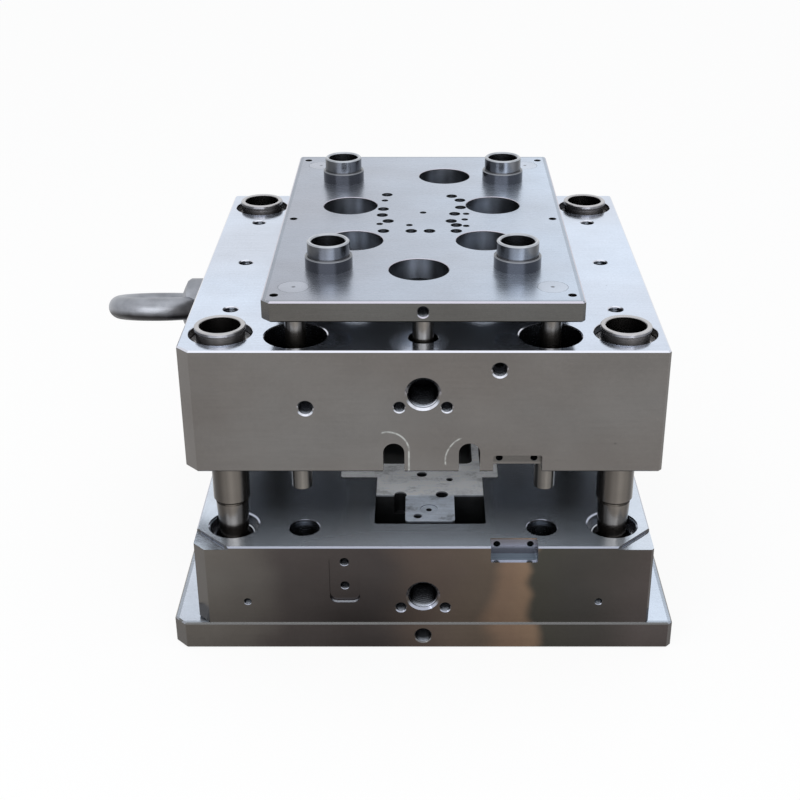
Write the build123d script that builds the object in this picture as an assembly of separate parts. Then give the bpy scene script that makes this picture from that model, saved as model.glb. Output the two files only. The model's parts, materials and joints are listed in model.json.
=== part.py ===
from build123d import *
import os

# Mould base, half open, standing on the clamping plate of its fixed half.
# Millimetres. The origin is the centre of the clamping plate's lower face, +Z up.
# -Y is the front, where the lock and latch pockets are, and +X is right.

# Plates
plate_width = 450.0
plate_depth = 450.0
clamp_width = 500.0
clamp_thickness = 30.0
cavity_thickness = 90.0
core_thickness = 125.0
ejector_width = 290.0
ejector_thickness = 20.0
edge_break = 1.5
corner_break = 2.5
clamp_corner_break = 4.5
corner_mark = 12.0
ejector_corner_mark = 8.0
hole_break = 1.0

# Positions at rest
mould_gap = 84.0
ejector_gap = 28.0

# Fits, as gaps on each side
seat_gap = 0.02
running_gap = 0.05
thread_gap = 0.1
screw_gap = 1.0
pin_float = 0.25

# Guide pillars and bushes in the corners
guide_inset = 42.0
guide_side_inset = 36.5
guide_diameter = 36.0
guide_waist_diameter = 28.0
guide_waist_top_diameter = 32.0
guide_land_length = 14.0
guide_waist_bevel = 2.0
guide_groove_diameter = 29.0
guide_groove_width = 1.5
guide_length = 52.5
guide_reach = 112.0
guide_lead_radius = 3.0
guide_end_bevel = 2.0
pillar_fit_diameter = 48.0
pillar_flange_diameter = 58.0
pillar_flange_thickness = 6.0
pillar_flange_sink = 8.0
pillar_recess_gap = 0.75
spigot_height = 8.0
spigot_lip = 3.0
spigot_waist = 1.2
pillar_bore_diameter = 38.0
pillar_bore_depth = 45.0
bush_diameter = 48.0
bush_flange_diameter = 54.0
bush_flange_thickness = 8.0
bush_sink = 9.0
bush_spigot = 8.0
bush_mouth_radius = 2.0
bush_hole_bevel = 1.8
vent_gap = 1.0

# Return pins
return_side_inset = 27.0
return_inset = 36.0
return_diameter = 20.0
return_head_diameter = 28.0
return_head_thickness = 8.0
return_reach = 35.0
return_end_bevel = 1.0
spring_pocket_diameter = 58.5
spring_pocket_depth = 45.0
return_seat_diameter = 30.5
return_seat_depth = 4.0
return_clearance = 0.5

# Stop posts under the ejector plate
post_inset = 31.0
post_diameter = 20.0
post_length = 41.0
post_stud_diameter = 12.0
post_stud_length = 13.0
post_hole_diameter = 28.0
post_hole_depth = 25.0

# Ejector plate
ejector_bush_side_inset = 56.0
ejector_bush_end_inset = 89.0
ejector_bush_diameter = 40.0
ejector_bush_bore = 32.0
ejector_bush_collar = 45.0
ejector_bush_collar_height = 12.0
ejector_bush_height = 26.0
ejector_bush_undercut = 0.8
ejector_bush_undercut_width = 1.6
ejector_bush_bevel = 1.2
support_diameter = 57.0
support_points = [(-4, -144.5), (24, 148), (-77, 43), (74, 44.5), (-68, -65), (61, -65)]
ejector_tap_diameter = 8.0
ejector_tap_inset = 11.0
ejector_tap_end_inset = 16.0
knockout_diameter = 6.2
knockout_head_diameter = 11.8
knockout_head_depth = 5.0
knockout_points = [
    (-39, 80), (-42, 31.5), (-42.5, 12), (-36, -7), (-40, -37.5), (-12, -37.5),
    (6.5, -37.5), (33.5, -37.5), (34, -19.5), (29, -7), (33, 16), (39.6, 37), (39.6, 61), (31, 75),
]
small_knockout_diameter = 3.2
small_knockout_head_diameter = 7.0
small_knockout_points = [(0, 20), (-14, -19.5), (-41, 60), (-44.5, -16), (45, 16), (43, -2), (44, -22)]

# Inserts, seen from above
insert_x = -4.0
insert_width = 167.0
insert_length = 176.0
shoulder_x = 7.0
shoulder_width = 111.0
shoulder_length = 38.0
tongue_width = 50.0
tongue_length = 51.0
tongue_radius = 4.0
insert_depth = 45.0
insert_gap = 0.3
shoulder_gap = 3.0
front_pocket_length = 94.0
pocket_radius = 3.0
insert_sink = 0.2
core_insert_depth = 60.0
impression_width = 114.0
impression_length = 118.0
impression_depth = 25.0
impression_radius = 8.0
moulding_wall = 3.0
draft_angle = 2.0
insert_target_diameter = 18.0
insert_target_depth = 1.0
insert_target_y = -153.0

# Screws: shank diameter, head diameter, head height, socket width across flats
clamp_screw = (16.0, 24.0, 16.0, 14.0)
insert_screw = (12.0, 18.0, 12.0, 10.0)
clamp_screw_grip = 28.0
insert_screw_grip = 15.0
core_screw_grip = 18.0
head_sink = 1.0
screw_side_inset = 39.0
screw_end_inset = 98.0
insert_screw_inset = 13.5

# Lifting holes and the lifting eye
lift_diameter = 30.0
lift_depth_cavity = 40.0
lift_depth_core = 45.0
lift_bevel = 2.0
lift_above_cavity_foot = 32.8
lift_below_core_top = 43.4
side_lift_below_core_top = 50.0
flank_diameter = 10.2
flank_depth = 18.0
flank_x = 22.0
flank_drop = 13.5
clamp_lift_diameter = 16.0
clamp_lift_depth = 30.0
ejector_lift_diameter = 10.0
ejector_lift_depth = 18.0
eye_ring_outer = 108.0
eye_ring_inner = 60.0
eye_height = 109.0
eye_collar_diameter = 65.0
eye_collar_height = 7.0
eye_neck_diameter = 60.0
eye_neck_height = 23.0
eye_shoulder_height = 35.0
eye_hole_flare = 0.15
eye_shank_length = 40.0
eye_tilt = 18.5

# Features on the front faces
lock_x = 89.0
lock_width = 46.0
lock_height = 17.6
lock_depth = 16.2
lock_radius = 2.0
lock_screw_pitch = 33.0
lock_screw_from_parting = 6.5
lock_screw_diameter = 6.8
lock_screw_depth = 14.0
slot_width = 20.0
slot_height = 30.5
slot_length = 60.0
slot_points = [-27.5, 43.5]
latch_x = -77.3
latch_width = 30.0
latch_height = 56.0
latch_foot = 25.0
latch_depth = 4.0
latch_radius = 7.5
latch_tap_diameter = 8.5
latch_tap_depth = 18.0
latch_tap_top = 10.7
latch_tap_pitch = 27.4
plug_x = 174.0
plug_above_foot = 26.3
plug_diameter = 7.0
plug_depth = 15.0
port_diameter = 13.2
port_depth = 14.0
port_bevel = 1.5
channel_diameter = 8.5
port_points = [(70.0, 19.2, 120.0), (-108.7, 58.0, 20.0)]
pry_leg = 34.0
pry_depth = 3.0

# Threaded holes in the top of the core plate
tap_diameter = 14.0
tap_depth = 25.0
tap_bevel = 1.0

# Heights that follow
cavity_foot = clamp_thickness
cavity_top = cavity_foot + cavity_thickness
core_foot = cavity_top + mould_gap
core_top = core_foot + core_thickness
ejector_foot = core_top + ejector_gap
ejector_top = ejector_foot + ejector_thickness
front = -plate_depth / 2
back = plate_depth / 2
side = plate_width / 2
guide_x = side - guide_side_inset
guide_y = back - guide_inset
return_x = ejector_width / 2 - return_side_inset
return_y = back - return_inset
ejector_bush_x = ejector_width / 2 - ejector_bush_side_inset
ejector_bush_y = back - ejector_bush_end_inset
screw_column_x = side - screw_side_inset
screw_row_y = back - screw_end_inset
post_y = back - post_inset
insert_front = -insert_length / 2
shoulder_front = insert_front - shoulder_length
port_over = 1.0

corners = [(-1, -1), (1, -1), (-1, 1), (1, 1)]
down = (0, 0, -1)
up = (0, 0, 1)
foot = (Align.CENTER, Align.CENTER, Align.MIN)


def plate(width, thickness, base, mark=corner_mark, upright_break=corner_break):
    """Ground plate with broken edges and the datum corner cut off at front left."""
    datum = (-width / 2, front, 0)
    outline = Rectangle(width, plate_depth)
    outline = chamfer(outline.vertices().sort_by_distance(datum)[1:], upright_break)
    outline = chamfer(outline.vertices().sort_by_distance(datum)[0], mark)
    block = slab(outline, base, thickness)
    rims = block.edges().group_by(Axis.Z)
    return chamfer(rims[0] + rims[-1], edge_break)


def drill(mouth, into, *steps, bevel=0.0):
    """Round hole from its mouth inwards: each step is a diameter and how deep it ends."""
    tool = Cylinder(steps[0][0] / 2, port_over, align=(Align.CENTER, Align.CENTER, Align.MAX))
    for diameter, end in steps:
        tool += Cylinder(diameter / 2, end, align=foot)
    if bevel:
        radius = steps[0][0] / 2
        tool += Pos(0, 0, -port_over) * Cone(
            radius + bevel + port_over, radius, bevel + port_over, align=foot
        )
    return Plane(origin=mouth, z_dir=into) * tool


def turned(points):
    """Solid of revolution about Z from its half section, given as radius and height."""
    outline = Polyline(*[(radius, 0, height) for radius, height in points], close=True)
    return revolve(make_face(outline), Axis.Z)


def slab(outline, base, height, taper=0.0):
    return extrude(Pos(0, 0, base) * outline, height, dir=up, taper=taper)


def cap_screw(size, seat, length, into):
    """Socket head screw with its head's underside at the seat and its shank going into."""
    shank, head, height, flats = size
    body = Cylinder(head / 2, height, align=(Align.CENTER, Align.CENTER, Align.MAX))
    body = chamfer(body.edges().sort_by(Axis.Z)[0], hole_break)
    body += Cylinder(shank / 2, length, align=foot)
    socket = Pos(0, 0, -height) * extrude(RegularPolygon(flats / 2, 6, major_radius=False), height / 2)
    return Plane(origin=seat, z_dir=into) * (body - socket)


def insert_screw_points():
    x = insert_width / 2 - insert_screw_inset
    y = insert_length / 2 - insert_screw_inset
    return [(insert_x + sx * x, sy * y) for sx, sy in corners]


def knockout_holes(height, length):
    """Holes for the shanks of large and small ejector pins, from a height downwards."""
    tools = []
    for x, y in knockout_points:
        tools.append(drill((x, y, height), down, (knockout_diameter, length)))
    for x, y in small_knockout_points:
        tools.append(drill((x, y, height), down, (small_knockout_diameter, length)))
    return tools


def lifting_holes(height, side_height, depth):
    """Threaded lifting hole in each side, with two small flanking holes at front and back."""
    tools = []
    for s in (-1, 1):
        end_mouth = (0, s * back, height)
        tools.append(drill(end_mouth, (0, -s, 0), (lift_diameter, depth), bevel=lift_bevel))
        side_mouth = (s * side, 0, side_height)
        tools.append(drill(side_mouth, (-s, 0, 0), (lift_diameter, depth), bevel=lift_bevel))
        for x in (-flank_x, flank_x):
            mouth = (x, s * back, height - flank_drop)
            tools.append(drill(mouth, (0, -s, 0), (flank_diameter, flank_depth), bevel=hole_break))
    return tools


def lock_recess(facing, parting, toward):
    """Recess for a side lock on the parting edge, with its two screw holes in the back wall."""
    x = -facing * lock_x
    wall = facing * (back - lock_depth)
    recess = Box(lock_width, 2 * lock_depth, 2 * lock_height)
    recess = fillet(recess.edges().filter_by(Axis.Y), lock_radius)
    tools = [Pos(x, facing * back, parting) * recess]
    for offset in (-lock_screw_pitch / 2, lock_screw_pitch / 2):
        mouth = (x + offset, wall, parting + toward * lock_screw_from_parting)
        tools.append(drill(mouth, (0, -facing, 0), (lock_screw_diameter, lock_screw_depth)))
    return tools


def clamp_plate():
    body = plate(clamp_width, clamp_thickness, 0, upright_break=clamp_corner_break)
    tools = []
    for sx, sy in corners:
        guide = (sx * guide_x, sy * guide_y, clamp_thickness)
        vent = guide_diameter + 2 * vent_gap
        steps = [(bush_diameter + 2 * seat_gap, bush_spigot), (vent, 2 * clamp_thickness)]
        tools.append(drill(guide, down, *steps))
        shank, head, height, _ = clamp_screw
        mouth = (sx * screw_column_x, sy * screw_row_y, 0)
        steps = [(head + 2 * screw_gap, height + head_sink), (shank + screw_gap, 2 * clamp_thickness)]
        tools.append(drill(mouth, up, *steps))
    for dy in (1, -1):
        mouth = (0, -dy * back, clamp_thickness / 2)
        tools.append(drill(mouth, (0, dy, 0), (clamp_lift_diameter, clamp_lift_depth), bevel=hole_break))
    return body - tools


def cavity_pocket():
    """Stepped pocket that holds the cavity insert, open towards the front."""
    wide = Rectangle(insert_width + 2 * insert_gap, insert_length + 2 * insert_gap + shoulder_gap)
    wide = Pos(insert_x, -shoulder_gap / 2) * wide
    narrow = Rectangle(shoulder_width + 2 * insert_gap, front_pocket_length)
    narrow = Pos(shoulder_x, insert_front - front_pocket_length / 2) * narrow
    outline = fillet((wide + narrow).vertices(), pocket_radius)
    return slab(outline, cavity_top - insert_depth, insert_depth + port_over)


def pry_slots():
    """Shallow triangles at the parting corners, where a bar is set to part the mould."""
    tools = []
    for sx, sy in corners:
        x, y = sx * side, sy * back
        outline = Polyline((x, y), (x - sx * pry_leg, y), (x, y - sy * pry_leg), close=True)
        grown = offset(make_face(outline), port_over, kind=Kind.INTERSECTION)
        tools.append(slab(grown, cavity_top - pry_depth, pry_depth + port_over))
    return tools


def latch_pocket():
    base = cavity_foot + latch_foot
    z = base + latch_height / 2
    block = Box(latch_width, 2 * latch_depth, latch_height)
    block = fillet(block.edges().filter_by(Axis.Y), latch_radius)
    tools = [Pos(latch_x, front, z) * block]
    for drop in (latch_tap_top, latch_tap_top + latch_tap_pitch):
        mouth = (latch_x, front + latch_depth, base + latch_height - drop)
        tools.append(drill(mouth, (0, 1, 0), (latch_tap_diameter, latch_tap_depth), bevel=hole_break / 2))
    return tools


def cavity_plate():
    body = plate(plate_width, cavity_thickness, cavity_foot)
    tools = [cavity_pocket()] + pry_slots() + latch_pocket()
    for sx, sy in corners:
        guide = (sx * guide_x, sy * guide_y, cavity_top)
        fit = bush_diameter + 2 * seat_gap
        tools.append(drill(guide, down, (fit, 2 * cavity_thickness), bevel=bush_hole_bevel))
        flange = (sx * guide_x, sy * guide_y, cavity_foot)
        steps = [(bush_flange_diameter + 2 * pin_float, bush_flange_thickness)]
        tools.append(drill(flange, up, *steps))
        pin = (sx * return_x, sy * return_y, cavity_top)
        bore = return_diameter + 2 * return_clearance
        steps = [(return_seat_diameter, return_seat_depth), (bore, 2 * cavity_thickness)]
        tools.append(drill(pin, down, *steps, bevel=hole_break / 2))
        screw = (sx * screw_column_x, sy * screw_row_y, cavity_foot)
        tools.append(drill(screw, up, (clamp_screw[0] + 2 * thread_gap, clamp_screw_grip + 2 * head_sink)))
    shank, head, height, _ = insert_screw
    for x, y in insert_screw_points():
        steps = [(head + 2 * screw_gap, height + head_sink), (shank + screw_gap, cavity_thickness)]
        floor_only = [steps[0], (steps[1][0], cavity_thickness - insert_depth + port_over)]
        tools.append(drill((x, y, cavity_foot), up, *floor_only))
    height = cavity_foot + lift_above_cavity_foot
    tools += lifting_holes(height, height, lift_depth_cavity)
    for facing in (-1, 1):
        tools += lock_recess(facing, cavity_top, -1)
    for x in (-plug_x, plug_x):
        mouth = (x, front, cavity_foot + plug_above_foot)
        tools.append(drill(mouth, (0, 1, 0), (plug_diameter, plug_depth), bevel=hole_break / 2))
    return body - tools


def insert_outline():
    """Insert seen from above: a rectangle stepped down to a tongue at the front."""
    main = Rectangle(insert_width, insert_length)
    main = Pos(insert_x, 0) * fillet(main.vertices(), pocket_radius)
    shoulder = Pos(shoulder_x, insert_front - shoulder_length / 2) * Rectangle(
        shoulder_width, shoulder_length
    )
    tongue = Pos(shoulder_x, shoulder_front - tongue_length / 2) * Rectangle(
        tongue_width, tongue_length
    )
    outline = main + shoulder + tongue
    ends = outline.vertices().sort_by(Axis.Y)[:2]
    return fillet(ends, tongue_radius)


def impression(wall, depth, base, direction):
    """Tapered block with the moulding's shape, smaller by a wall on every side."""
    width = impression_width - 2 * wall
    length = impression_length - 2 * wall
    outline = RectangleRounded(width, length, impression_radius - wall)
    plane = Plane(origin=(insert_x, 0, base), z_dir=(0, 0, direction))
    return extrude(plane * outline, depth, taper=draft_angle)


def cavity_insert():
    base = cavity_top - insert_depth
    top = cavity_top - insert_sink
    body = slab(insert_outline(), base, insert_depth - insert_sink)
    tools = [impression(0, impression_depth, top, -1)]
    for x, y in insert_screw_points():
        depth = insert_screw_grip + 2 * head_sink
        tools.append(drill((x, y, base), up, (insert_screw[0] + 2 * thread_gap, depth)))
    target = (shoulder_x - 1, insert_target_y, top)
    target_steps = [
        (insert_target_diameter, insert_target_depth),
        (insert_target_diameter / 3, insert_depth / 2),
    ]
    tools.append(drill(target, down, *target_steps))
    holes = [
        (-1.3, -82.0, 11.0),
        (28.0, -93.0, 7.0),
        (19.5, -124.0, 13.0),
        (-5.5, -167.0, 8.5),
        (-23.5, -125.0, 13.0),
    ]
    for x, y, diameter in holes:
        tools.append(drill((x, y, top), down, (diameter, insert_depth / 2)))
    return body - tools


def guide_bush(sx, sy):
    """Flanged bush: a short spigot below the flange centres it in the clamping plate."""
    outer = bush_diameter / 2
    bore = guide_diameter / 2 + running_gap
    low = cavity_foot - bush_spigot
    high = cavity_top - bush_sink
    flange = bush_flange_diameter / 2
    section = [
        (bore, low),
        (outer, low),
        (outer, cavity_foot),
        (flange, cavity_foot),
        (flange, cavity_foot + bush_flange_thickness),
        (outer, cavity_foot + bush_flange_thickness),
        (outer, high),
        (bore, high),
    ]
    bush = turned(section)
    mouth = bush.edges().filter_by(GeomType.CIRCLE).sort_by(Axis.Z)[-2:].sort_by(SortBy.RADIUS)[0]
    return Pos(sx * guide_x, sy * guide_y) * fillet(mouth, bush_mouth_radius)


def clamp_screws():
    seat = clamp_screw[2] + head_sink
    length = clamp_thickness - seat + clamp_screw_grip
    points = [(sx * screw_column_x, sy * screw_row_y, seat) for sx, sy in corners]
    return Compound([cap_screw(clamp_screw, point, length, up) for point in points])


def cavity_insert_screws():
    seat = cavity_foot + insert_screw[2] + head_sink
    length = cavity_top - insert_depth - seat + insert_screw_grip
    points = [(x, y, seat) for x, y in insert_screw_points()]
    return Compound([cap_screw(insert_screw, point, length, up) for point in points])


def core_plate():
    body = plate(plate_width, core_thickness, core_foot)
    pocket = Rectangle(insert_width + 2 * insert_gap, insert_length + 2 * insert_gap)
    pocket = Pos(insert_x, 0) * fillet(pocket.vertices(), pocket_radius)
    tools = [slab(pocket, core_foot - port_over, core_insert_depth + port_over)]
    for sx, sy in corners:
        guide = (sx * guide_x, sy * guide_y, core_top)
        recess = pillar_flange_diameter + 2 * pillar_recess_gap
        steps = [
            (recess, pillar_flange_sink + pillar_flange_thickness),
            (pillar_fit_diameter + 2 * seat_gap, 2 * core_thickness),
        ]
        tools.append(drill(guide, down, *steps, bevel=hole_break / 2))
        pin = (sx * return_x, sy * return_y, core_top)
        bore = return_diameter + 2 * running_gap
        steps = [(spring_pocket_diameter, spring_pocket_depth), (bore, 2 * core_thickness)]
        tools.append(drill(pin, down, *steps, bevel=hole_break))
    for sx in (-1, 1):
        for row in (-1, 0, 1):
            mouth = (sx * screw_column_x, row * screw_row_y, core_top)
            tools.append(drill(mouth, down, (tap_diameter, tap_depth), bevel=tap_bevel))
    for sy in (-1, 1):
        mouth = (0, sy * post_y, core_top)
        tools.append(drill(mouth, down, (post_hole_diameter, post_hole_depth), bevel=hole_break / 2))
    shank, head, height, _ = insert_screw
    for x, y in insert_screw_points():
        steps = [(head + 2 * screw_gap, height + head_sink), (shank + screw_gap, core_thickness)]
        tools.append(drill((x, y, core_top), down, *steps))
    tools += knockout_holes(core_top, core_thickness)
    height = core_top - lift_below_core_top
    tools += lifting_holes(height, core_top - side_lift_below_core_top, lift_depth_core)
    for facing in (-1, 1):
        tools += lock_recess(facing, core_foot, 1)
    for x, drop, depth in port_points:
        mouth = (x, front, core_top - drop)
        steps = [(port_diameter, port_depth), (channel_diameter, depth)]
        tools.append(drill(mouth, (0, 1, 0), *steps, bevel=port_bevel))
    for x in slot_points:
        tools.append(pipe_slot(x))
    return body - tools


def pipe_slot(x):
    """Round-topped slot in the front parting edge, over the pockets beside the tongue."""
    radius = slot_width / 2
    arch = Pos(0, slot_height - radius) * Circle(radius)
    leg_middle = (slot_height - radius - port_over) / 2
    legs = Pos(0, leg_middle) * Rectangle(slot_width, slot_height - radius + port_over)
    plane = Plane(origin=(x, front - port_over, core_foot), x_dir=(1, 0, 0), z_dir=(0, -1, 0))
    return extrude(plane * (arch + legs), -(slot_length + port_over))


def core_insert():
    outline = Pos(insert_x, 0) * Rectangle(insert_width, insert_length)
    outline = fillet(outline.vertices(), pocket_radius)
    body = slab(outline, core_foot, core_insert_depth)
    body += impression(moulding_wall, impression_depth - moulding_wall, core_foot, -1)
    tools = []
    ceiling = core_foot + core_insert_depth
    for x, y in insert_screw_points():
        depth = core_screw_grip + 2 * head_sink
        tools.append(drill((x, y, ceiling), down, (insert_screw[0] + 2 * thread_gap, depth)))
    tools += knockout_holes(ceiling, 2 * core_insert_depth)
    return body - tools


def core_insert_screws():
    seat = core_top - insert_screw[2] - head_sink
    length = seat - core_foot - core_insert_depth + core_screw_grip
    points = [(x, y, seat) for x, y in insert_screw_points()]
    return Compound([cap_screw(insert_screw, point, length, down) for point in points])


def leader_pin(sx, sy):
    """Shouldered pillar: hollow centring spigot, flange, fit, then a waist between two guides."""
    end = core_foot - guide_reach
    step = core_foot - guide_length
    flange_foot = core_top - pillar_flange_sink - pillar_flange_thickness
    flange_top = core_top - pillar_flange_sink
    lip = core_top + spigot_height
    bore = pillar_bore_diameter / 2
    fit = pillar_fit_diameter / 2
    waist = fit - spigot_waist
    guide = guide_diameter / 2
    slim = guide_waist_diameter / 2
    slim_top = guide_waist_top_diameter / 2
    groove = guide_groove_diameter / 2
    land = end + guide_land_length
    section = [
        (0, end),
        (guide - guide_end_bevel, end),
        (guide, end + 2 * guide_end_bevel),
        (guide, land - guide_waist_bevel),
        (slim, land),
        (slim_top, step - guide_groove_width),
        (groove, step - guide_groove_width),
        (groove, step),
        (guide - guide_lead_radius, step),
        (guide, step + guide_lead_radius),
        (guide, core_foot),
        (fit, core_foot),
        (fit, flange_foot),
        (pillar_flange_diameter / 2, flange_foot),
        (pillar_flange_diameter / 2, flange_top),
        (waist, flange_top),
        (waist, lip - 2 * spigot_lip),
        (fit, lip - spigot_lip),
        (fit, lip - edge_break / 2),
        (fit - edge_break / 2, lip),
        (bore + edge_break / 2, lip),
        (bore, lip - edge_break / 2),
        (bore, lip - pillar_bore_depth),
        (0, lip - pillar_bore_depth),
    ]
    return Pos(sx * guide_x, sy * guide_y) * turned(section)


def lifting_eye():
    """Forged lifting eye screwed into the left side of the core plate."""
    thickness = (eye_ring_outer - eye_ring_inner) / 2
    centre = eye_height - eye_ring_outer / 2
    ring = Torus((eye_ring_outer + eye_ring_inner) / 4, thickness / 2)
    ring = Pos(0, 0, centre) * Rot(90, 0, 0) * ring
    neck = turned([
        (0, 0),
        (eye_collar_diameter / 2, 0),
        (eye_collar_diameter / 2, eye_collar_height),
        (eye_neck_diameter / 2, eye_collar_height),
        (eye_neck_diameter / 2, eye_neck_height),
        (thickness / 2, eye_shoulder_height),
        (0, eye_shoulder_height),
    ])
    reach = eye_neck_diameter / 2 + port_over
    inner = eye_ring_inner / 2
    mouth = inner + eye_hole_flare * reach
    hole = turned([(0, -reach), (mouth, -reach), (inner, 0), (mouth, reach), (0, reach)])
    neck -= Pos(0, 0, centre) * Rot(90, 0, 0) * hole
    shank = Pos(0, 0, -eye_shank_length) * Cylinder(
        lift_diameter / 2 - thread_gap, eye_shank_length, align=foot
    )
    eye = ring + neck + shank
    seat = Plane(
        origin=(-side, 0, core_top - side_lift_below_core_top),
        x_dir=Vector(0, 1, 0).rotate(Axis.X, -eye_tilt),
        z_dir=(-1, 0, 0),
    )
    return seat * eye


def ejector_plate():
    body = plate(ejector_width, ejector_thickness, ejector_foot, mark=ejector_corner_mark)
    tools = []
    through = 2 * ejector_thickness
    for x, y in support_points:
        tools.append(drill((x, y, ejector_top), down, (support_diameter, through), bevel=hole_break / 2))
    for sx, sy in corners:
        bush = (sx * ejector_bush_x, sy * ejector_bush_y, ejector_top)
        tools.append(drill(bush, down, (ejector_bush_diameter + 2 * seat_gap, through)))
        pin = (sx * return_x, sy * return_y, ejector_top)
        steps = [
            (return_head_diameter + 2 * pin_float, return_head_thickness),
            (return_diameter + 2 * pin_float, through),
        ]
        tools.append(drill(pin, down, *steps))
    for sx in (-1, 1):
        for row in (-1, 0, 1):
            x = sx * (ejector_width / 2 - ejector_tap_inset)
            y = row * (back - ejector_tap_end_inset)
            tools.append(drill((x, y, ejector_top), down, (ejector_tap_diameter, through)))
    for sy in (-1, 1):
        stud = (0, sy * post_y, ejector_foot)
        steps = [(post_stud_diameter + 2 * seat_gap, post_stud_length + head_sink)]
        tools.append(drill(stud, up, *steps))
        mouth = (0, sy * back, ejector_foot + ejector_thickness / 2)
        steps = [(ejector_lift_diameter, ejector_lift_depth)]
        tools.append(drill(mouth, (0, -sy, 0), *steps, bevel=hole_break))
    tools += knockout_holes(ejector_top, through)
    for x, y in knockout_points:
        tools.append(drill((x, y, ejector_top), down, (knockout_head_diameter, knockout_head_depth)))
    for x, y in small_knockout_points:
        tools.append(drill((x, y, ejector_top), down, (small_knockout_head_diameter, knockout_head_depth)))
    return body - tools


def return_pin(sx, sy):
    head = return_head_diameter / 2
    shank = return_diameter / 2
    seat = ejector_top - return_head_thickness
    end = core_foot - return_reach
    section = [
        (0, end),
        (shank - return_end_bevel, end),
        (shank, end + return_end_bevel),
        (shank, seat),
        (head, seat),
        (head, ejector_top),
        (0, ejector_top),
    ]
    return Pos(sx * return_x, sy * return_y) * turned(section)


def ejector_guide_bush(sx, sy):
    """Bush for an ejector guide pillar: its collar sits on the plate, its tube stands above."""
    bore = ejector_bush_bore / 2
    outer = ejector_bush_diameter / 2
    collar = ejector_bush_collar / 2
    collar_top = ejector_top + ejector_bush_collar_height
    top = ejector_top + ejector_bush_height
    under = outer - ejector_bush_undercut
    section = [
        (bore, ejector_foot),
        (outer, ejector_foot),
        (outer, ejector_top),
        (collar, ejector_top),
        (collar, collar_top - ejector_bush_bevel),
        (collar - ejector_bush_bevel, collar_top),
        (under, collar_top),
        (under, collar_top + ejector_bush_undercut_width),
        (outer, collar_top + ejector_bush_undercut_width),
        (outer, top - ejector_bush_bevel),
        (outer - ejector_bush_bevel, top),
        (bore + ejector_bush_bevel, top),
        (bore, top - ejector_bush_bevel),
    ]
    return Pos(sx * ejector_bush_x, sy * ejector_bush_y) * turned(section)


def stop_post(sy):
    """Post that meets the floor of its hole in the core plate and ends the ejector stroke."""
    radius = post_diameter / 2
    end = ejector_foot - post_length
    top = ejector_foot + post_stud_length
    section = [
        (0, end),
        (radius - return_end_bevel, end),
        (radius, end + return_end_bevel),
        (radius, ejector_foot),
        (post_stud_diameter / 2, ejector_foot),
        (post_stud_diameter / 2, top),
        (0, top),
    ]
    return Pos(0, sy * post_y) * turned(section)


corner_names = {
    (-1, -1): "front_left",
    (1, -1): "front_right",
    (-1, 1): "back_left",
    (1, 1): "back_right",
}


def build():
    nodes = {
        "clamp_plate": clamp_plate(),
        "cavity_plate": cavity_plate(),
        "cavity_insert": cavity_insert(),
        "clamp_screws": clamp_screws(),
        "cavity_insert_screws": cavity_insert_screws(),
        "core_plate": core_plate(),
        "core_insert": core_insert(),
        "core_insert_screws": core_insert_screws(),
        "lifting_eye": lifting_eye(),
        "ejector_retainer_plate": ejector_plate(),
        "stop_post_front": stop_post(-1),
        "stop_post_back": stop_post(1),
    }
    for (sx, sy), place in corner_names.items():
        nodes["guide_bush_" + place] = guide_bush(sx, sy)
        nodes["leader_pin_" + place] = leader_pin(sx, sy)
        nodes["return_pin_" + place] = return_pin(sx, sy)
        nodes["ejector_guide_bush_" + place] = ejector_guide_bush(sx, sy)
    return nodes


os.makedirs("parts", exist_ok=True)
for name, shape in build().items():
    export_step(shape, f"parts/{name}.step")
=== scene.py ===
import json
import math

import bpy
from mathutils import Matrix, Vector


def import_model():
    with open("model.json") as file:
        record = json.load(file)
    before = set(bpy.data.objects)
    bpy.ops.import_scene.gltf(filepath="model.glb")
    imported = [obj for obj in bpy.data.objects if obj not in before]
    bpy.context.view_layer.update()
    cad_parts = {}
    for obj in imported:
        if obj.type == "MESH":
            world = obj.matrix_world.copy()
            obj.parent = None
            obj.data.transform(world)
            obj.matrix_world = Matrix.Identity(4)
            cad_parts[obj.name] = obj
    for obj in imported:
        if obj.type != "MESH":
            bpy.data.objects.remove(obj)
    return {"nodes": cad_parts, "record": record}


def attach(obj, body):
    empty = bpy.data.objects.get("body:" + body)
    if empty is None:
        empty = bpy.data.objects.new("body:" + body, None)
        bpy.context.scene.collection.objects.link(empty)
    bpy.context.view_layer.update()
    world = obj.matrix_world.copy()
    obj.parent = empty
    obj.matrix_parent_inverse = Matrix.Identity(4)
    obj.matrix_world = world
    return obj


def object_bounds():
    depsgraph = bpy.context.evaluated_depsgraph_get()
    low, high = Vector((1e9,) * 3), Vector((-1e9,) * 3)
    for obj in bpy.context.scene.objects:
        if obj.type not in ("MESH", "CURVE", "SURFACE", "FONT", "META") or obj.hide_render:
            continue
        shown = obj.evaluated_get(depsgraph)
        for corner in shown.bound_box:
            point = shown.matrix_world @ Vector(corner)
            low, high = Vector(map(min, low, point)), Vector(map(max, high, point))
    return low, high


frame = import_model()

cad_low, cad_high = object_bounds()
nodes = frame["nodes"]
MM = 0.001

# Heights and places in the row frame, in millimetres, as the solids have them
CAVITY_FOOT, CAVITY_TOP = 30.0, 120.0
CORE_FOOT, CORE_TOP = 204.0, 329.0
EJECTOR_FOOT, EJECTOR_TOP = 357.0, 377.0
HALF = 225.0  # half the width and depth of the cavity and core plates
CLAMP_HALF = HALF + 25.0
EJECTOR_HALF = 145.0
FACE = 4.5  # skin at a plate's sides that holds its outer faces and broken edges
RECESS = 12.5  # how deep the recesses in a plate's sides reach
TONGUE_ROOT = -126.0  # Y where the cavity insert's tongue starts
PAD_LINE = 416.0  # |X| + |Y| along the step behind the cavity plate's corner pads

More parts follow.
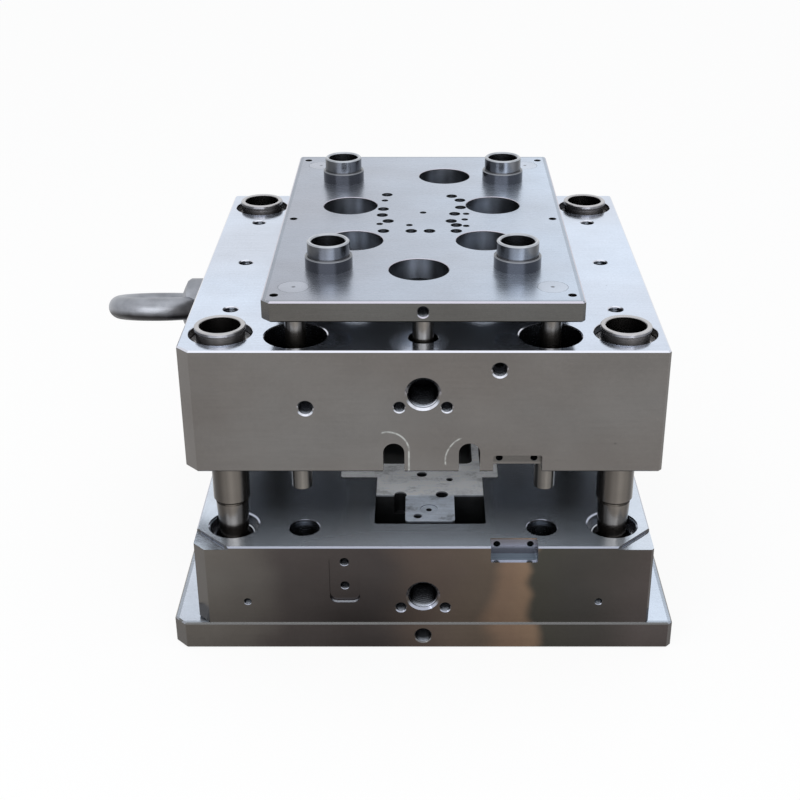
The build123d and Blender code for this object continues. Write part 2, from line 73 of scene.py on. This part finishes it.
# Places that repeat in each quarter, as |X| and |Y|
LEADER_PIN = (188.5, 183.0)
EJECTOR_BUSH = (89.0, 136.0)
RETURN_PIN = (118.0, 189.0)
SPACER_BOLT = (186.0, 127.0)
SPIGOT_BORE = 19.0  # radius

# Lifting holes: height, thread length and body
LIFTING_HOLES = {"cavity": (62.8, 39.0, "fixed_half"), "core": (285.6, 44.0, "moving_half")}
SIDE_DROP = 6.6  # how much lower the core plate's right lifting hole lies

# Threads: radius of the hole's wall, radius at the crest, pitch, start below the mouth
LIFTING_THREAD = (15.0, 13.4, 3.5, 3.2)
SPACER_THREAD = (7.0, 6.6, 2.0, 1.8)
SPACER_THREAD_LENGTH = 24.0

# The photo's camera, fitted to the plates' corners: metres, degrees and pixels
CAMERA_PLACE = (0.0, -1.33499, 0.835197)
CAMERA_DIP = 26.578
PICTURE = 800.0
FOCAL_LENGTH = 1351.8
CAMERA_SHIFT = -23.1
SENSOR = 36.0
FLOOR_HALF = 6.0
FLOOR_GAP = 0.0005


# Materials

class Graph:
    """A material's node tree, with short calls for the few kinds of node used here."""

    def __init__(self, name):
        self.material = bpy.data.materials.new(name)
        self.material.use_nodes = True
        self.tree = self.material.node_tree
        self.tree.nodes.clear()
        self.shader = self.add("ShaderNodeBsdfPrincipled")
        self.out = self.add("ShaderNodeOutputMaterial")
        self.tree.links.new(self.shader.outputs[0], self.out.inputs[0])
        self.coords = self.add("ShaderNodeTexCoord")

    def add(self, kind, **settings):
        node = self.tree.nodes.new(kind)
        for key, value in settings.items():
            setattr(node, key, value)
        return node

    def put(self, value, socket):
        if isinstance(value, bpy.types.NodeSocket):
            self.tree.links.new(value, socket)
        elif isinstance(value, tuple):
            socket.default_value = (*value, 1.0)
        else:
            socket.default_value = value

    def math(self, operation, a, b=0.0):
        node = self.add("ShaderNodeMath", operation=operation)
        self.put(a, node.inputs[0])
        self.put(b, node.inputs[1])
        return node.outputs[0]

    def remap(self, value, low, high, to_low=0.0, to_high=1.0):
        node = self.add("ShaderNodeMapRange")
        self.put(value, node.inputs["Value"])
        for key, number in (("From Min", low), ("From Max", high), ("To Min", to_low), ("To Max", to_high)):
            node.inputs[key].default_value = number
        return node.outputs["Result"]

    def all_of(self, *masks):
        total = masks[0]
        for mask in masks[1:]:
            total = self.math("MULTIPLY", total, mask)
        return total

    def mix(self, factor, a, b, blend="MIX"):
        node = self.add("ShaderNodeMix", data_type="RGBA", blend_type=blend)
        self.put(factor, node.inputs[0])
        self.put(a, node.inputs[6])
        self.put(b, node.inputs[7])
        return node.outputs[2]

    def tint(self, colour, *shades):
        """The colour times one plus the sum of the shades."""
        total = 1.0
        for shade in shades:
            total = self.math("ADD", total, shade)
        grey = self.add("ShaderNodeCombineColor")
        for socket in grey.inputs[:3]:
            self.tree.links.new(total, socket)
        return self.mix(1.0, colour, grey.outputs[0], "MULTIPLY")

    def ramp(self, value, low, high, stops):
        """Colours at places between low and high, blended smoothly."""
        node = self.add("ShaderNodeValToRGB")
        node.color_ramp.interpolation = "EASE"
        elements = node.color_ramp.elements
        while len(elements) < len(stops):
            elements.new(0.5)
        for element, (place, colour) in zip(elements, stops):
            element.position = (place - low) / (high - low)
            element.color = (*colour, 1.0)
        self.put(self.remap(value, low, high), node.inputs[0])
        return node.outputs[0]

    def placed(self, stretch):
        node = self.add("ShaderNodeMapping")
        self.tree.links.new(self.coords.outputs["Object"], node.inputs[0])
        node.inputs["Scale"].default_value = stretch
        return node.outputs[0]

    def noise(self, scale, detail=3.0, stretch=(1.0, 1.0, 1.0), roughness=0.5):
        node = self.add("ShaderNodeTexNoise")
        self.tree.links.new(self.placed(stretch), node.inputs["Vector"])
        node.inputs["Scale"].default_value = scale
        node.inputs["Detail"].default_value = detail
        node.inputs["Roughness"].default_value = roughness
        return node.outputs["Fac"]

    def cells(self, scale, stretch=(1.0, 1.0, 1.0)):
        node = self.add("ShaderNodeTexVoronoi")
        self.tree.links.new(self.placed(stretch), node.inputs["Vector"])
        node.inputs["Scale"].default_value = scale
        return node.outputs["Distance"]

    def axis(self, source, index):
        """One coordinate of the texture space named by the source: in millimetres for Object."""
        node = self.add("ShaderNodeSeparateXYZ")
        self.tree.links.new(self.coords.outputs[source], node.inputs[0])
        value = node.outputs[index]
        return self.math("DIVIDE", value, MM) if source == "Object" else value

    def above(self, value, limit, soft=0.1):
        return self.remap(value, limit - soft, limit + soft)

    def below(self, value, limit, soft=0.1):
        return self.remap(value, limit - soft, limit + soft, 1.0, 0.0)

    def near(self, value, place, half_width, soft=0.4):
        away = self.math("ABSOLUTE", self.math("SUBTRACT", value, place))
        return self.below(away, half_width, soft)

    def radius(self, a, b, centre_a, centre_b):
        a = self.math("POWER", self.math("SUBTRACT", a, centre_a), 2.0)
        b = self.math("POWER", self.math("SUBTRACT", b, centre_b), 2.0)
        return self.math("SQRT", self.math("ADD", a, b))

    def bump(self, height, strength, distance):
        node = self.add("ShaderNodeBump")
        node.inputs["Strength"].default_value = strength
        node.inputs["Distance"].default_value = distance
        self.put(height, node.inputs["Height"])
        self.tree.links.new(node.outputs[0], self.shader.inputs["Normal"])

    def folded(self):
        """X and Y without their signs, in millimetres: one quarter stands for all four."""
        return self.math("ABSOLUTE", self.axis("Object", 0)), self.math("ABSOLUTE", self.axis("Object", 1))

    def within(self, half_x, half_y, low, high, corner_cut):
        """Inside a box round the Z axis: the walls of a plate's bores and pockets, not its faces."""
        x, y = self.folded()
        z = self.axis("Object", 2)
        corners = self.below(self.math("ADD", x, y), half_x + half_y - corner_cut, 0.4)
        return self.all_of(
            corners, self.below(x, half_x, 0.4), self.below(y, half_y, 0.4), self.above(z, low, 0.4),
            self.below(z, high, 0.4))

    def depth_in(self, half_x, half_y):
        """How far a point lies out past the box's sides, so less than zero inside it."""
        x, y = self.folded()
        return self.math("MAXIMUM", self.math("SUBTRACT", x, half_x), self.math("SUBTRACT", y, half_y))

    def facing_out(self, half_x, half_y):
        """How squarely a face looks out of the nearest side of the box: 1 for the side's own face."""
        x, y = self.folded()
        past_x = self.math("SUBTRACT", x, half_x)
        past_y = self.math("SUBTRACT", y, half_y)
        to_x = self.above(self.math("SUBTRACT", past_x, past_y), 0.0)
        across = self.math("MULTIPLY", self.math("ABSOLUTE", self.axis("Normal", 0)), to_x)
        along = self.math("ABSOLUTE", self.axis("Normal", 1))
        return self.math("ADD", across, self.math("MULTIPLY", along, self.math("SUBTRACT", 1.0, to_x)))

    def finish(self, colour, rough, metal=1.0):
        self.put(colour, self.shader.inputs["Base Color"])
        self.put(rough, self.shader.inputs["Roughness"])
        self.put(metal, self.shader.inputs["Metallic"])
        return self.material


def bored_walls(g, lean, box, level_bores, recess):
    """The walls of a plate's bores, pockets and side recesses: where, in what colour and how matt. Their
    colours are painted light and shade: a painted highlight column near the mouth of bores, painted shade
    deeper in and in level bores, upward faces painted lighter, and painted light on the upward walls of
    level bores near the mouth.
    """
    upward = g.remap(lean, 0.25, 0.6)
    height = g.axis("Object", 2)
    depth = g.depth_in(*box[:2])
    low, high, reach = level_bores
    level_band = g.all_of(g.above(height, low), g.below(height, high))
    mouth = g.all_of(g.below(g.facing_out(*box[:2]), 0.6, 0.1), g.below(depth, FACE - 1.0, 0.2), level_band)
    inside = g.math("MAXIMUM", g.within(*box), g.all_of(mouth, g.above(depth, 0.0)))
    # Painted highlight: a bright column on bore walls near their mouth, near black below it and at the
    # sides.
    shine = g.math("MULTIPLY", painted_column_highlight(g), g.remap(height, box[3] - 26.0, box[3] - 6.0))
    colour = g.mix(shine, (0.03, 0.031, 0.034), (0.24, 0.26, 0.3))
    colour = g.mix(upward, colour, (0.06, 0.065, 0.075))
    at_side = g.above(depth, -RECESS)
    colour = g.mix(at_side, colour, g.mix(upward, recess, (0.15, 0.19, 0.23)))
    # Painted shade: level bores near black.
    level = g.all_of(inside, g.above(depth, -reach), level_band)
    colour = g.mix(level, colour, (0.012, 0.012, 0.014))
    stops = (
        (-40.0, (0.03, 0.03, 0.03)),
        (-24.0, (0.16, 0.16, 0.16)),
        (-5.0, (0.3, 0.3, 0.3)),
        (1.0, (1.0, 1.0, 1.0)),
    )
    # Painted light on the upward walls of level bores, strongest near the mouth.
    lit = g.all_of(g.remap(lean, 0.5, 0.95), level, g.ramp(depth, -40.0, FACE, stops))
    colour = g.mix(lit, colour, (0.6, 0.63, 0.7))
    recess_floor = g.all_of(inside, upward, at_side, g.math("SUBTRACT", 1.0, level))
    return inside, colour, g.math("MAXIMUM", recess_floor, lit)


def ground_steel(name, top, wall, underside_shade, edge, box, level_bores, recess, rough=0.2, marks=None, dull=None):
    """Surface-ground plate: fine lines along X, colour drift, pits, a painted highlight on its broken edges
    and painted shade in its bores.

    What lies inside the box (half X, half Y, low, high, corner cut) belongs to bores and pockets.
    The level bores (low, high, reach) run in from the sides between two heights."""
    g = Graph(name)
    lean = g.axis("Normal", 2)
    downward = g.remap(lean, -0.6, -0.25, 1.0, 0.0)
    # Painted light and shade: tops lighter and bluer than walls, undersides in painted shade.
    base = g.mix(g.remap(lean, 0.25, 0.6), wall, top)
    base = g.mix(downward, base, underside_shade)
    if marks:
        base = marks(g, base)
    inside, bored, matt = bored_walls(g, lean, box, level_bores, recess)
    base = g.mix(inside, base, g.mix(downward, bored, underside_shade))
    lines = g.noise(5.0, 4.0, (3.0, 170.0, 170.0), 0.65)
    drift = g.noise(5.0, 3.0, (1.0, 1.0, 1.6), 0.55)
    cloud = g.noise(17.0, 3.0)
    grain = g.noise(420.0, 2.0)
    base = g.mix(g.remap(drift, 0.35, 0.65), base, g.mix(1.0, base, (0.96, 1.0, 1.03), "MULTIPLY"))
    colour = g.tint(
        base,
        g.remap(lines, 0.25, 0.75, -0.05, 0.05),
        g.remap(drift, 0.3, 0.7, -0.1, 0.1),
        g.remap(cloud, 0.3, 0.7, -0.05, 0.05),
        g.remap(grain, 0.35, 0.7, -0.03, 0.03),
    )
    pits = g.below(g.cells(16.0), 0.014, 0.006)
    colour = g.mix(g.math("MULTIPLY", pits, 0.55), colour, g.mix(1.0, colour, (0.3, 0.3, 0.3), "MULTIPLY"))
    sloping = g.all_of(g.remap(lean, 0.35, 0.5), g.remap(lean, 0.86, 0.93, 1.0, 0.0))
    # Painted highlight on the sloping broken edges.
    colour = g.mix(g.all_of(sloping, g.math("SUBTRACT", 1.0, inside)), colour, edge)
    g.bump(lines, 0.06, 0.0003)
    metal = g.remap(matt, 0.0, 1.0, 0.95, 0.3)
    rough = g.remap(lines, 0.2, 0.8, rough - 0.03, rough + 0.05)
    rough = g.math("ADD", rough, g.math("MULTIPLY", inside, 0.12))
    if dull:
        duller = dull(g)
        metal = g.math("SUBTRACT", metal, g.math("MULTIPLY", duller, 0.32))
        rough = g.math("ADD", rough, g.math("MULTIPLY", duller, 0.1))
    return g.finish(colour, rough, metal)


def painted_column_highlight(g):
    """Painted highlight: a bright column down a cylinder as seen from the front, with painted shade on its
    sides, outside and in bores.
    """
    stops = (
        (-1.0, (0.0, 0.0, 0.0)),
        (-0.55, (0.18, 0.18, 0.18)),
        (-0.15, (0.62, 0.62, 0.62)),
        (0.14, (1.0, 1.0, 1.0)),
        (0.45, (0.72, 0.72, 0.72)),
        (0.78, (0.22, 0.22, 0.22)),
        (1.0, (0.3, 0.3, 0.3)),
    )
    return g.ramp(g.axis("Normal", 0), -1.0, 1.0, stops)


def front_only(g):
    """Faces that look towards the front."""
    return g.remap(g.axis("Normal", 1), -0.9, -0.5, 1.0, 0.0)


def painted_front_reflection(foot, top):
    """Painted reflections: brown and tan bands across the front, with painted shade towards the foot."""
    stops = (
        (-225.0, (0.112, 0.100, 0.089)),
        (-190.0, (0.094, 0.083, 0.074)),
        (-150.0, (0.058, 0.049, 0.046)),
        (-60.0, (0.053, 0.045, 0.043)),
        (0.0, (0.083, 0.062, 0.051)),
        (62.0, (0.093, 0.070, 0.054)),
        (84.0, (0.165, 0.108, 0.075)),
        (102.0, (0.185, 0.122, 0.082)),
        (114.0, (0.050, 0.046, 0.038)),
        (160.0, (0.052, 0.047, 0.042)),
        (225.0, (0.078, 0.064, 0.059)),
    )

    def marks(g, base):
        wander = g.remap(g.noise(9.0, 3.0, (0.6, 1.0, 1.0)), 0.3, 0.7, -22.0, 22.0)
        slant = g.math("MULTIPLY", g.math("SUBTRACT", g.axis("Object", 2), foot), -0.12)
        across = g.math("ADD", g.axis("Object", 0), g.math("ADD", wander, slant))
        bands = g.ramp(across, -260.0, 260.0, stops)
        low = g.remap(g.axis("Object", 2), foot, top, -0.3, 0.12)
        near_foot = g.remap(g.axis("Object", 2), foot, foot + 60.0, 1.0, 0.0)
        # Painted shade: a darker patch near the foot.
        foot_shade = g.all_of(g.near(across, -70.0, 60.0, 40.0), near_foot)
        return g.mix(front_only(g), base, g.tint(bands, low, g.math("MULTIPLY", foot_shade, -0.3)))

    return marks


def cavity_marks(g, base):
    """Painted reflections on the front, and painted shade on the steps behind the corner pads."""
    x, y = g.folded()
    height = g.axis("Object", 2)
    base = painted_front_reflection(CAVITY_FOOT, CAVITY_TOP)(g, base)
    step = g.all_of(g.near(g.math("ADD", x, y), PAD_LINE, 1.2), g.above(height, CAVITY_TOP - 2.8),
                    g.below(g.axis("Normal", 2), 0.5))
    return g.mix(step, base, (0.008, 0.008, 0.01))


def front_land(g):
    """Strip along the front edge of the cavity plate's top, dullest in the middle."""
    across = g.remap(g.folded()[0], 50.0, 200.0, 1.0, 0.35)
    top = g.above(g.axis("Object", 2), CAVITY_TOP - 0.5)
    return g.all_of(across, top, g.remap(g.axis("Object", 1), -218.0, -145.0, 1.0, 0.0))


def scribed_front(g, base):
    """Two scribed arcs by the slots in the front of the core plate: places and radii in X and Z."""
    x = g.axis("Object", 0)
    z = g.axis("Object", 2)
    on_front = g.below(g.axis("Object", 1), 0.05 - HALF, 0.04)
    left_ring = g.near(g.radius(x, z, -33.2, 226.5), 20.0, 0.8)
    left_arc = g.all_of(left_ring, g.above(z, 226.5), g.above(x, -38.5, 1.0))
    left_leg = g.all_of(g.near(x, -13.3, 0.8), g.below(z, 226.5))
    right_ring = g.near(g.radius(x, z, 48.0, 216.0), 27.2, 0.7)
    right_arc = g.all_of(right_ring, g.above(z, 212.0, 1.0), g.below(z, 240.0, 1.0), g.below(x, 36.0))
    arcs = g.math("ADD", g.math("ADD", left_arc, left_leg), right_arc)
    worn = g.remap(g.noise(160.0, 2.0), 0.35, 0.55, 0.25, 1.0)
    return g.mix(g.all_of(arcs, on_front, worn), base, (0.42, 0.42, 0.4))


def painted_light_to_right(g, base):
    """Painted light: the ejector plate's top turns lighter and bluer towards the right."""
    across = g.remap(g.axis("Object", 0), -EJECTOR_HALF, EJECTOR_HALF)
    up = g.remap(g.axis("Normal", 2), 0.25, 0.6)
    return g.mix(g.all_of(across, up), base, (0.56, 0.62, 0.72))


def turned_steel(name, shaded, bright, rim, rough=0.2, marks=None, dull=None):
    """Turned and ground steel: fine rings round the vertical axis, a painted highlight column with painted
    shade at its sides, and upward faces painted lighter.
    """
    g = Graph(name)
    round_wall = g.mix(painted_column_highlight(g), shaded, bright)
    colour = g.mix(g.remap(g.axis("Normal", 2), 0.5, 0.8), round_wall, rim)
    if marks:
        colour = marks(g, colour)
    lines = g.noise(1.0, 3.0, (14.0, 14.0, 900.0), 0.6)
    drift = g.noise(25.0, 2.0)
    colour = g.tint(colour, g.remap(lines, 0.25, 0.75, -0.05, 0.05), g.remap(drift, 0.3, 0.7, -0.08, 0.08))
    g.bump(lines, 0.03, 0.0002)
    metal = g.math("SUBTRACT", 0.95, g.math("MULTIPLY", dull(g), 0.3)) if dull else 0.95
    return g.finish(colour, g.remap(lines, 0.2, 0.8, rough - 0.02, rough + 0.04), metal)


def dark_collar(g, base):
    """Painted shade on the collar of an ejector guide bush, just above the ejector plate, with a painted
    highlight on its top rim.
    """
    z = g.axis("Object", 2)
    outside = g.above(g.radius(*g.folded(), *EJECTOR_BUSH), 18.0)
    collar = g.all_of(outside, g.above(z, EJECTOR_TOP - 0.5), g.below(z, EJECTOR_TOP + 11.0, 0.6))
    rim = g.all_of(outside, g.above(z, EJECTOR_TOP + 11.2), g.below(z, EJECTOR_TOP + 12.4))
    base = g.mix(collar, base, (0.065, 0.068, 0.078))
    return g.mix(rim, base, (0.15, 0.155, 0.17))


def spigot(g):
    """The leader pins' spigots above the core plate, without their bores."""
    wall = g.above(g.radius(*g.folded(), *LEADER_PIN), SPIGOT_BORE + 0.2, 0.2)
    return g.all_of(g.above(g.axis("Object", 2), CORE_TOP - 12.0), wall)


def spigot_and_bore(g, base):
    """Leader pins: a greyer spigot above the core plate with a painted highlight column and its top painted
    lighter, and painted shade in its bore.
    """
    grey = g.mix(painted_column_highlight(g), (0.03, 0.03, 0.033), (0.34, 0.325, 0.33))
    grey = g.mix(g.remap(g.axis("Normal", 2), 0.5, 0.8), grey, (0.5, 0.49, 0.5))
    base = g.mix(spigot(g), base, grey)
    in_bore = g.below(g.radius(*g.folded(), *LEADER_PIN), SPIGOT_BORE, 0.3)
    bore = g.all_of(in_bore, g.above(g.axis("Object", 2), CORE_TOP - 40.0))
    return g.mix(bore, base, g.mix(painted_column_highlight(g), (0.02, 0.02, 0.022), (0.1, 0.1, 0.108)))


def plate_like_head(g, base):
    """Return pins: the head is ground flush with the ejector plate, with a centre mark."""
    away = g.radius(*g.folded(), *RETURN_PIN)
    head = g.above(g.axis("Object", 2), EJECTOR_TOP - 0.3)
    # The head takes the plate's painted light, lighter and bluer towards the right.
    plate = painted_light_to_right(g, (0.42, 0.44, 0.5))
    plate = g.mix(g.below(away, 1.8, 0.6), plate, (0.14, 0.15, 0.18))
    return g.mix(head, base, plate)


def milled_steel(name, top, wall, underside_shade):
    """Bright milled steel: mottled, stroked and stained, duller on its tongue, with walls painted darker
    and its underside in painted shade, and near-black painted shade where it is sunk.
    """
    g = Graph(name)
    fine = g.noise(300.0, 4.0, (1.0, 1.0, 1.0), 0.7)
    patches = g.noise(48.0, 4.0, (1.0, 1.3, 1.0), 0.65)
    strokes = g.noise(30.0, 3.0, (1.0, 9.0, 9.0), 0.6)
    lean = g.axis("Normal", 2)
    base = g.mix(g.remap(lean, 0.25, 0.6), wall, top)
    base = g.mix(g.remap(lean, -0.6, -0.25, 1.0, 0.0), base, underside_shade)
    tongue = g.below(g.axis("Object", 1), TONGUE_ROOT, 3.0)
    base = g.mix(tongue, base, g.mix(1.0, base, (0.6, 0.65, 0.73), "MULTIPLY"))
    stains = g.math("MULTIPLY", g.remap(patches, 0.3, 0.44, 1.0, 0.0), g.remap(tongue, 0.0, 1.0, 0.35, 0.8))
    base = g.mix(stains, base, (0.16, 0.17, 0.19))
    # Painted shade: near black below the cavity plate's top.
    sunk = g.all_of(g.below(g.axis("Object", 2), CAVITY_TOP - 1.8), g.above(g.axis("Object", 2), 0.0))
    base = g.mix(sunk, base, (0.02, 0.021, 0.023))
    colour = g.tint(
        base,
        g.remap(patches, 0.35, 0.65, -0.12, 0.14),
        g.remap(strokes, 0.3, 0.7, -0.08, 0.08),
        g.remap(fine, 0.3, 0.7, -0.08, 0.08),
    )
    g.bump(g.math("ADD", fine, strokes), 0.2, 0.0004)
    return g.finish(colour, g.remap(patches, 0.3, 0.7, 0.4, 0.55), g.remap(lean, 0.0, 0.6, 0.7, 0.0))


def forged_steel(name, top, underside_shade):
    """Forged steel: soft lumps, a fine grain and painted shade on its underside."""
    g = Graph(name)
    grain = g.noise(900.0, 3.0)
    lumps = g.noise(60.0, 3.0)
    patches = g.noise(22.0, 3.0)
    lean = g.math("ADD", g.axis("Normal", 2), g.remap(patches, 0.3, 0.7, -0.12, 0.12))
    base = g.mix(g.remap(lean, -0.3, 0.12), underside_shade, top)
    colour = g.tint(
        base,
        g.remap(patches, 0.3, 0.7, -0.25, 0.2),
        g.remap(lumps, 0.3, 0.7, -0.16, 0.16),
        g.remap(grain, 0.3, 0.7, -0.06, 0.06),
    )
    g.bump(g.math("ADD", grain, g.math("MULTIPLY", lumps, 3.0)), 0.2, 0.0008)
    return g.finish(colour, g.remap(lumps, 0.3, 0.7, 0.3, 0.46), 0.95)


def black_steel(name):
    """Blackened steel of the screws."""
    g = Graph(name)
    grain = g.noise(1200.0, 2.0)
    colour = g.mix(grain, (0.02, 0.02, 0.022), (0.05, 0.05, 0.055))
    return g.finish(colour, g.remap(grain, 0.3, 0.7, 0.35, 0.5), 0.8)


# DARK is painted shade for undersides; the top and wall colours given to each steel below are painted light
# and shade.
DARK = (0.012, 0.012, 0.014)
GREY_RECESS = (0.15, 0.142, 0.16)
BROWN_RECESS = (0.12, 0.112, 0.105)
MATERIALS = {
    "clamp_plate_steel": ground_steel(
        "clamp_plate_steel", (0.66, 0.71, 0.8), (0.06, 0.053, 0.048), DARK, (0.15, 0.15, 0.15),
        (CLAMP_HALF - FACE, HALF - FACE, 2.0, CAVITY_FOOT - 2.0, 14.0),
        (0.0, CAVITY_FOOT, 34.0), BROWN_RECESS, marks=painted_front_reflection(-20.0, CAVITY_FOOT + 20.0)),
    "cavity_plate_steel": ground_steel(
        "cavity_plate_steel", (0.7, 0.75, 0.83), (0.08, 0.07, 0.064), DARK, (0.4, 0.42, 0.5),
        (HALF - FACE, HALF - FACE, CAVITY_FOOT + 2.0, CAVITY_TOP - 1.2, 25.5),
        (CAVITY_FOOT, CAVITY_TOP - 18.0, 38.0), GREY_RECESS, 0.13, cavity_marks, front_land),
    "core_plate_steel": ground_steel(
        "core_plate_steel", (0.67, 0.72, 0.82), (0.162, 0.149, 0.14), DARK, (0.66, 0.67, 0.74),
        (HALF - FACE, HALF - FACE, CORE_FOOT + 2.0, CORE_TOP - 1.2, 14.0),
        (CORE_FOOT + 34.0, CORE_TOP - 9.0, 44.0), BROWN_RECESS, 0.13, scribed_front),
    "ejector_plate_steel": ground_steel(
        "ejector_plate_steel", (0.38, 0.395, 0.45), (0.105, 0.1, 0.094), DARK, (0.52, 0.5, 0.57),
        (EJECTOR_HALF - FACE, HALF - FACE, EJECTOR_FOOT, EJECTOR_TOP - 1.0, 14.0),
        (EJECTOR_FOOT, EJECTOR_TOP, 15.0), BROWN_RECESS, 0.26, painted_light_to_right),
    "insert_steel": milled_steel("insert_steel", (0.95, 0.97, 1.0), (0.25, 0.26, 0.28), DARK),
    "bush_steel": turned_steel(
        "bush_steel", (0.045, 0.048, 0.054), (0.235, 0.248, 0.275), (0.5, 0.52, 0.56), marks=dark_collar),
    "pin_steel": turned_steel(
        "pin_steel", (0.035, 0.031, 0.028), (0.175, 0.158, 0.142), (0.3, 0.29, 0.28),
        marks=spigot_and_bore, dull=spigot),
    "return_pin_steel": turned_steel(
        "return_pin_steel", (0.045, 0.042, 0.039), (0.2, 0.185, 0.17), (0.3, 0.29, 0.28), 0.24,
        plate_like_head),
    "black_screw_steel": black_steel("black_screw_steel"),
    "forged_steel": forged_steel("forged_steel", (0.3, 0.31, 0.34), (0.033, 0.031, 0.033)),
}
slot_of = {part["node"]: part["material_slot"] for part in frame["record"]["subparts"]}
for name, node in nodes.items():
    for slot in node.material_slots:
        slot.material = MATERIALS[slot_of[name]]


# Pieces

def piece(name, mesh_data, material, body):
    """A smooth-shaded piece made from points in millimetres, which rides on a body."""
    vertices, faces = mesh_data
    mesh = bpy.data.meshes.new(name)
    mesh.from_pydata([Vector(v) * MM for v in vertices], [], faces)
    mesh.update()
    for face in mesh.polygons:
        face.use_smooth = True
    made = bpy.data.objects.new(name, mesh)
    bpy.context.scene.collection.objects.link(made)
    mesh.materials.append(MATERIALS[material])
    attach(made, body)


def looking(origin, direction):
    """Matrix that puts local Z along the direction at the origin, both in the row frame."""
    turn = Vector(direction).to_track_quat("Z", "Y").to_matrix().to_4x4()
    return Matrix.Translation(origin) @ turn


def thread(place, size, length, steps=28):
    """Helical ridge from a hole's wall to the crest, running inwards along local Z."""
    wall, crest, pitch, start = size
    foot, land = pitch * 0.45, pitch * 0.06
    profile = ((wall, -foot), (crest, -land), (crest, land), (wall, foot))
    shallowest = start * 0.6
    vertices, faces = [], []
    for i in range(int((length - start) / pitch) * steps + 1):
        angle = 2 * math.pi * i / steps
        z = start + pitch * i / steps
        for radius, rise in profile:
            point = Vector((radius * math.cos(angle), radius * math.sin(angle), max(z + rise, shallowest)))
            vertices.append(place @ point)
        if i:
            a = 4 * (i - 1)
            for k in range(3):
                faces.append((a + k, a + k + 1, a + k + 5, a + k + 4))
    return vertices, faces


def lifting_threads():
    """Threads of the lifting holes; the lifting eye fills the core plate's left one."""
    inwards = {"front": (0, 1), "back": (0, -1), "left": (1, 0), "right": (-1, 0)}
    for half, (height, length, body) in LIFTING_HOLES.items():
        for side, (dx, dy) in inwards.items():
            if half == "core" and side == "left":
                continue
            drop = SIDE_DROP if half == "core" and side == "right" else 0.0
            place = looking((-dx * HALF, -dy * HALF, height - drop), (dx, dy, 0))
            data = thread(place, LIFTING_THREAD, length)
            piece(f"thread_lifting_{half}_{side}", data, half + "_plate_steel", body)


def spacer_threads():
    """Threads of the spacer blocks' bolt holes in the core plate: three rows on both sides."""
    away_x, away_y = SPACER_BOLT
    for side, sign in (("left", -1), ("right", 1)):
        for row in (-1, 0, 1):
            place = looking((sign * away_x, row * away_y, CORE_TOP), (0, 0, -1))
            data = thread(place, SPACER_THREAD, SPACER_THREAD_LENGTH, 20)
            piece(f"thread_spacer_{side}_{row + 2}", data, "core_plate_steel", "moving_half")


lifting_threads()
spacer_threads()


# Floor, lights and camera

def seen_or_mirrored(tree):
    """1 for rays from the camera and for rays off or through shiny surfaces, 0 for others."""
    path = tree.nodes.new("ShaderNodeLightPath")
    total = path.outputs["Is Camera Ray"]
    for kind in ("Is Glossy Ray", "Is Transmission Ray"):
        node = tree.nodes.new("ShaderNodeMath")
        node.operation = "MAXIMUM"
        tree.links.new(total, node.inputs[0])
        tree.links.new(path.outputs[kind], node.inputs[1])
        total = node.outputs[0]
    return total


def floor():
    """Pale floor: seen and mirrored as white, with the part's shadow still showing on it."""
    mesh = bpy.data.meshes.new("floor")
    corners = [(sx * FLOOR_HALF, sy * FLOOR_HALF, 0) for sx, sy in ((-1, -1), (1, -1), (1, 1), (-1, 1))]
    mesh.from_pydata(corners, [], [(0, 1, 2, 3)])
    made = bpy.data.objects.new("floor", mesh)
    bpy.context.scene.collection.objects.link(made)
    made.location.z = cad_low.z - FLOOR_GAP
    g = Graph("floor")
    g.finish((0.95, 0.95, 0.95), 0.9, 0.0)
    glow = g.add("ShaderNodeEmission")
    blend = g.add("ShaderNodeMixShader")
    g.put(g.math("MULTIPLY", seen_or_mirrored(g.tree), 0.9), blend.inputs[0])
    g.tree.links.new(g.shader.outputs[0], blend.inputs[1])
    g.tree.links.new(glow.outputs[0], blend.inputs[2])
    g.tree.links.new(blend.outputs[0], g.out.inputs[0])
    mesh.materials.append(g.material)


def area(name, place, target, size, power, colour):
    """Rectangular lamp at a place, turned to its target."""
    data = bpy.data.lights.new(name, "AREA")
    data.shape = "RECTANGLE"
    data.size, data.size_y = size
    data.energy = power
    data.color = colour
    made = bpy.data.objects.new(name, data)
    bpy.context.scene.collection.objects.link(made)
    made.location = place
    made.rotation_euler = (Vector(target) - Vector(place)).to_track_quat("-Z", "Y").to_euler()


def world():
    """White where it is seen or mirrored, and three quarters as bright for what it lights."""
    made = bpy.data.worlds.new("world")
    bpy.context.scene.world = made
    made.use_nodes = True
    tree = made.node_tree
    background = tree.nodes["Background"]
    strength = tree.nodes.new("ShaderNodeMapRange")
    tree.links.new(seen_or_mirrored(tree), strength.inputs["Value"])
    strength.inputs["To Min"].default_value = 0.75
    strength.inputs["To Max"].default_value = 1.0
    background.inputs["Color"].default_value = (0.97, 0.985, 1.0, 1.0)
    tree.links.new(strength.outputs["Result"], background.inputs["Strength"])


def camera():
    """The photo's camera."""
    data = bpy.data.cameras.new("camera")
    made = bpy.data.objects.new("camera", data)
    bpy.context.scene.collection.objects.link(made)
    made.location = CAMERA_PLACE
    made.rotation_euler = (math.radians(90.0 - CAMERA_DIP), 0.0, 0.0)
    data.sensor_width = SENSOR
    data.lens = FOCAL_LENGTH / PICTURE * SENSOR
    data.shift_x = CAMERA_SHIFT / PICTURE
    data.clip_end = 50.0
    bpy.context.scene.camera = made


floor()
world()
area("overhead", (0.0, -0.3, 2.2), (0.0, 0.0, 0.2), (2.4, 2.0), 5.5, (0.97, 0.985, 1.0))
area("front", (-0.3, -2.2, 0.95), (0.0, -0.1, 0.15), (3.4, 1.8), 38.0, (0.98, 0.99, 1.0))
camera()
bpy.context.scene.view_settings.view_transform = "Standard"
